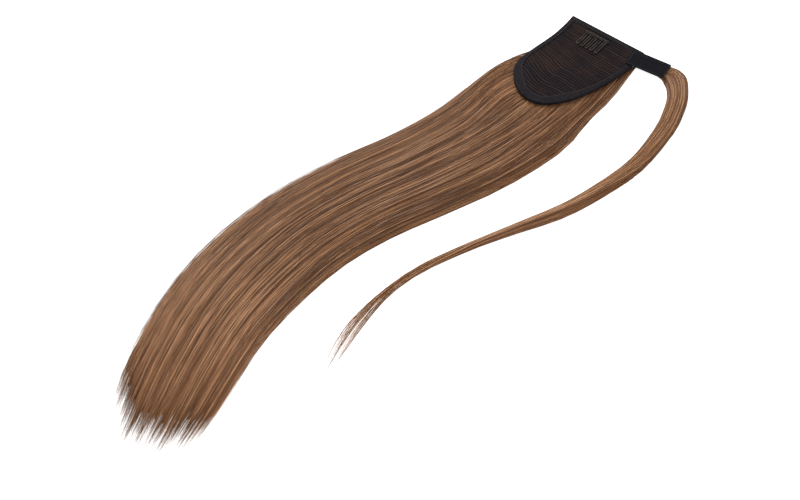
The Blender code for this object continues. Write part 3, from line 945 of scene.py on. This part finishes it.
def binding(finish):
    ring, miter, width, length = base_ring()
    pucker = np.sin(2 * math.pi * length / 0.0034)
    width = width + 0.00012 * pucker
    half = TAPE_HALF * 1000
    inner = half - TAPE_WALL * 1000
    profile = []
    for inset, rise in ((0.9, 1.0), (0.35, 0.93), (0.08, 0.72), (0.0, 0.35)):
        profile.append((inset, 0, rise * half))
    for inset, rise in ((0.0, 0.35), (0.08, 0.72), (0.35, 0.93), (0.9, 1.0)):
        profile.append((inset, 0, -rise * half))
    profile += [(-0.5, 1, -half), (-0.08, 1, -half + 0.15), (0, 1, -half + 0.45),
                (-0.08, 1, -inner - 0.15), (-0.5, 1, -inner), (1.3, 0, -inner), (1.15, 0, 0),
                (1.3, 0, inner), (-0.5, 1, inner), (-0.08, 1, inner + 0.15), (0, 1, half - 0.4),
                (-0.12, 1, half - 0.12), (-0.6, 1, half)]
    loops = []
    for inset, from_inner, rise in profile:
        depth = inset * MM + from_inner * width
        at = ring + miter * depth[:, None]
        lift = rise * MM
        if rise >= half - 0.2:
            lift = lift - 0.00007 * (1 + pucker)
        loops.append(on_base(at[:, 0], at[:, 1], np.zeros(len(ring)) + lift))
    points = np.stack(loops, axis=1)
    count, around = points.shape[:2]
    i, j = np.meshgrid(np.arange(count), np.arange(around), indexing="ij")
    k, n = (i + 1) % count, (j + 1) % around
    quads = np.stack([i * around + j, i * around + n, k * around + n, k * around + j], axis=2)
    obj = fast_mesh("binding_tape", points.reshape(-1, 3), quads.reshape(-1, 4),
                    np.zeros((0, 3), int))
    return dress(obj, finish)


def binding_stitches(finish):
    """A line of stitches near the tape's inner edge, all the way round."""
    ring, miter, width, length = base_ring()
    total = length[-1] + np.linalg.norm(ring[0] - ring[-1])
    inner = ring + miter * (width - 0.0010)[:, None]
    closed = np.vstack([inner, inner[:1]])
    places = np.append(length, total)
    paths, squares = [], []
    for start in np.arange(0, total - 0.003, 0.0034):
        at = start + np.linspace(0, 0.0025, 5)
        x, y = (np.interp(at, places, column) for column in closed.T)
        rise = TAPE_HALF + np.array([-0.0003, 0.00006, 0.00010, 0.00006, -0.0003])
        paths.append(on_base(x, y, rise))
        squares.append(square_to(paths[-1]))
    return tubes("binding_stitches", paths, 0.00017, squares, 5, finish)


# The strap of hook tape

HOOK_ROWS = 36
HOOK_COLUMNS = 16


def on_strap(x, y, rise):
    """World points from the strap's middle, on its own axes."""
    c, s = math.cos(STRAP_TURN), math.sin(STRAP_TURN)
    return tilted(STRAP_MIDDLE[0] + x * c - y * s, STRAP_MIDDLE[1] + x * s + y * c,
                  TAPE_HALF + CLEARANCE + rise)


def strap_cloth(finish):
    """The woven ground, with a thicker selvedge along each long edge."""
    w = STRAP_WIDTH / 2 / MM
    section = [(-w + 0.25, 0.05), (-w, 0.35), (-w, 0.95), (-w + 0.3, 1.25), (-w + 1.3, 1.28),
               (-w + 1.8, 1.02), (-3, 0.98), (3, 0.98), (w - 1.8, 1.02), (w - 1.3, 1.28),
               (w - 0.3, 1.25), (w, 0.95), (w, 0.35), (w - 0.25, 0.05)]
    y, z = np.array(section).T * MM
    x = np.linspace(-STRAP_LENGTH / 2, STRAP_LENGTH / 2, 93)
    ends = np.minimum(x - x[0], x[-1] - x)
    shrink = 1 - 0.05 * np.exp(-ends / 0.0003)
    ripple = 0.00004 * np.sin(2 * math.pi * x / 0.0016)
    rings = [on_strap(np.full_like(y, px), y * k,
                      z * (1 - 0.2 * (1 - k) / 0.05) + r * (z > 0.0009))
             for px, k, r in zip(x, shrink, ripple)]
    points = np.array(rings)[:, ::-1]
    obj = fast_mesh("strap_cloth", points.reshape(-1, 3), *loft(points))
    return dress(obj, finish)


def strap_hooks(finish):
    """Small bent hooks in staggered rows between the selvedges."""
    paths, squares = [], []
    for row in range(HOOK_ROWS):
        for column in range(HOOK_COLUMNS):
            x = -STRAP_LENGTH / 2 + 0.0017 + row * 0.00099 + rng.normal(0, 0.00005)
            y = -STRAP_WIDTH / 2 + 0.0026 + (column + 0.5 * (row % 2)) * 0.00100
            lean = (1 if row % 2 else -1) * np.array([0, 0.0, 0.00014, 0.00036, 0.00050])
            rise = np.array([0.0007, 0.0012, 0.00150, 0.00152, 0.00132])
            paths.append(on_strap(x + lean, np.full(5, y), rise))
            across = on_strap(np.array([x, x]), np.array([y, y + 0.001]), np.array([0.001, 0.001]))
            square = across[1] - across[0]
            squares.append(square / np.linalg.norm(square))
    return tubes("strap_hooks", paths, 0.00014, squares, 3, finish)


def strap_stitches(finish):
    """A box of stitches at each end of the strap, and one line along each selvedge."""
    lines = []
    ends = STRAP_LENGTH / 2
    side = STRAP_WIDTH / 2 - 0.0009
    for y in (-side, side):
        lines.append(((-ends + 0.001, y), (ends - 0.001, y)))
    for x in (-ends + 0.0012, -ends + 0.0082, ends - 0.0012, ends - 0.0082):
        lines.append(((x, -side), (x, side)))
    paths, squares = [], []
    for start, stop in lines:
        start, stop = np.array(start), np.array(stop)
        run = stop - start
        length = np.linalg.norm(run)
        for k in range(int(length / 0.0026)):
            share = (k * 0.0026 + np.linspace(0, 0.0019, 5)) / length
            at = start + run * share[:, None]
            rise = 0.00128 + np.array([-0.0002, 0.00014, 0.00018, 0.00014, -0.0002])
            paths.append(on_strap(at[:, 0], at[:, 1], rise))
            squares.append(square_to(paths[-1]))
    return tubes("strap_stitches", paths, 0.00014, squares, 5, finish)


# The comb

COMB_X = -0.0030
COMB_Y = -0.0110
COMB_LENGTH = 0.026
COMB_SPINE = (0.0032, 0.0020)
TOOTH_COUNT = 5
TOOTH_PITCH = 0.0050
TOOTH_LENGTH = 0.0200
TOOTH_BEND = 0.0011
TOOTH_WIRE = 0.0011
COMB_SEAT = NET_THICKNESS / 2 + CLEARANCE + RIB_RISE + COMB_SPINE[1] / 2


def on_comb(x, y, rise):
    """World points from the comb's spine. The comb is stiff, so it doesn't follow the droop."""
    return tilted(COMB_X + x, COMB_Y + y, COMB_SEAT + rise)


def comb_teeth(finish):
    paths = []
    straight = TOOTH_LENGTH - TOOTH_BEND
    for tooth in range(TOOTH_COUNT):
        middle = (tooth - (TOOTH_COUNT - 1) / 2) * TOOTH_PITCH
        turn = np.linspace(math.pi, 2 * math.pi, 11)
        down = np.linspace(0, 1, 8)[:-1]
        x = np.concatenate([np.full(7, middle - TOOTH_BEND), middle + TOOTH_BEND * np.cos(turn),
                            np.full(7, middle + TOOTH_BEND)])
        y = np.concatenate([-straight * down, TOOTH_BEND * np.sin(turn) - straight,
                            -straight * down[::-1]])
        paths.append(on_comb(x, y, np.zeros_like(x)))
    normal = (0, math.sin(BASE_SLOPE), math.cos(BASE_SLOPE))
    return tubes("comb_teeth", paths, TOOTH_WIRE / 2, [normal] * TOOTH_COUNT, 10, finish)


def comb_spine(finish):
    """The spine is a bar wound with fine wire, so it shows as a row of close turns."""
    turns = 46
    half = COMB_LENGTH / 2 - 0.0003
    paths, squares = [], []
    for turn in range(turns):
        x = -half + (turn + 0.5) * 2 * half / turns
        angle = np.linspace(0, 2 * math.pi, 13)
        y = (COMB_SPINE[0] / 2 - 0.00028) * np.cos(angle)
        z = (COMB_SPINE[1] / 2 - 0.00028) * np.sin(angle)
        paths.append(on_comb(np.full_like(y, x), y, z))
        squares.append((1, 0, 0))
    return tubes("comb_spine_wire", paths, 0.00030, squares, 5, finish)


def comb_bar(finish):
    y, z = COMB_SPINE[0] / 2 - 0.0004, COMB_SPINE[1] / 2 - 0.0004
    angle = np.linspace(0, 2 * math.pi, 17)[:-1]
    half = COMB_LENGTH / 2 - 0.0004
    places = ((-half, 0.7), (-half + 0.0004, 1), (0, 1), (half - 0.0004, 1), (half, 0.7))
    rings = [on_comb(np.full(16, x), y * k * np.cos(angle), z * k * np.sin(angle))
             for x, k in places]
    points = np.array(rings)
    obj = fast_mesh("comb_bar", points.reshape(-1, 3), *loft(points),
                    np.zeros((points[..., 0].size, 2)))
    return dress(obj, finish)


def comb_stitches(finish):
    """Loops of thread over the spine that hold the comb to the net."""
    paths, squares = [], []
    for group in np.linspace(-COMB_LENGTH / 2 + 0.0022, COMB_LENGTH / 2 - 0.0022, 6):
        for k in range(4):
            angle = np.linspace(-0.15, math.pi + 0.15, 9)
            y = (COMB_SPINE[0] / 2 + 0.00018) * np.cos(angle)
            z = (COMB_SPINE[1] / 2 + 0.00014) * np.sin(angle)
            x = group + (k - 1.5) * 0.00042 + 0.00025 * np.cos(angle)
            paths.append(on_comb(x, y, z))
            squares.append((1, 0, 0))
    return tubes("comb_stitches", paths, 0.00017, squares, 5, finish)


# What is built

WEAVE_SCALE = 520

set_stage()
hair = hair_material("hair_strands", 1.11)
dark = core_material()
fall_strands(hair)
fall_core = core("hair_fall_core", FALL, 0.0017, 0.0035, np.linspace(0.01, 0.945, 64), 61,
                 under_base, dark)
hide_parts("hair_fall")
wrap_strands(hair)
wrap_core = core("wrap_lock_core", WRAP, 0.0022, 0.0030, np.linspace(0.0, 0.60, 60), 15,
                 under_strap, dark)
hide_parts("wrap_lock")

net_cloth = net_material()
tape_cloth = cloth_material("tape_cloth", (0.0055, 0.0042, 0.0056), (0.0125, 0.0100, 0.0135),
                            WEAVE_SCALE, 0.8, 0.75)
hook_cloth = cloth_material("hook_cloth", (0.0032, 0.0032, 0.0048), (0.0082, 0.0084, 0.0126),
                            WEAVE_SCALE, 0.8, 0.7)
net_thread = rod_material("net_thread", (0.008, 0.0055, 0.0062), (0.030, 0.021, 0.022), 0.7, 0.0)
tape_thread = rod_material("tape_thread", (0.022, 0.019, 0.024), (0.055, 0.048, 0.060), 0.65, 0.0)
strap_thread = rod_material("strap_thread", (0.006, 0.006, 0.008), (0.018, 0.018, 0.024), 0.6, 0.0)
hook_nylon = rod_material("hook_nylon", (0.0030, 0.0030, 0.0046), (0.0090, 0.0094, 0.0140),
                          0.55, 0.0)
# Painted glints: the comb wire's spots run from its dark colour up to a light tone standing in for
# glints along the teeth.
wire = rod_material("comb_wire", (0.014, 0.011, 0.011), (0.064, 0.054, 0.048), 0.40, 0.6)
dark_wire = rod_material("spine_wire", (0.012, 0.009, 0.008), (0.040, 0.031, 0.026), 0.5, 0.3)

net = net_panel(net_cloth)
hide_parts("net_panel")
darts = net_stitches(net_thread)
tape = binding(tape_cloth)
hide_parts("edge_binding")
tape_seam = binding_stitches(tape_thread)
strap = strap_cloth(hook_cloth)
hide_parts("strap")
hooks = strap_hooks(hook_nylon)
strap_seams = strap_stitches(strap_thread)
teeth = comb_teeth(wire)
comb_spine(dark_wire)
comb_bar(dark_wire)
comb_stitches(net_thread)
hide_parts("comb")
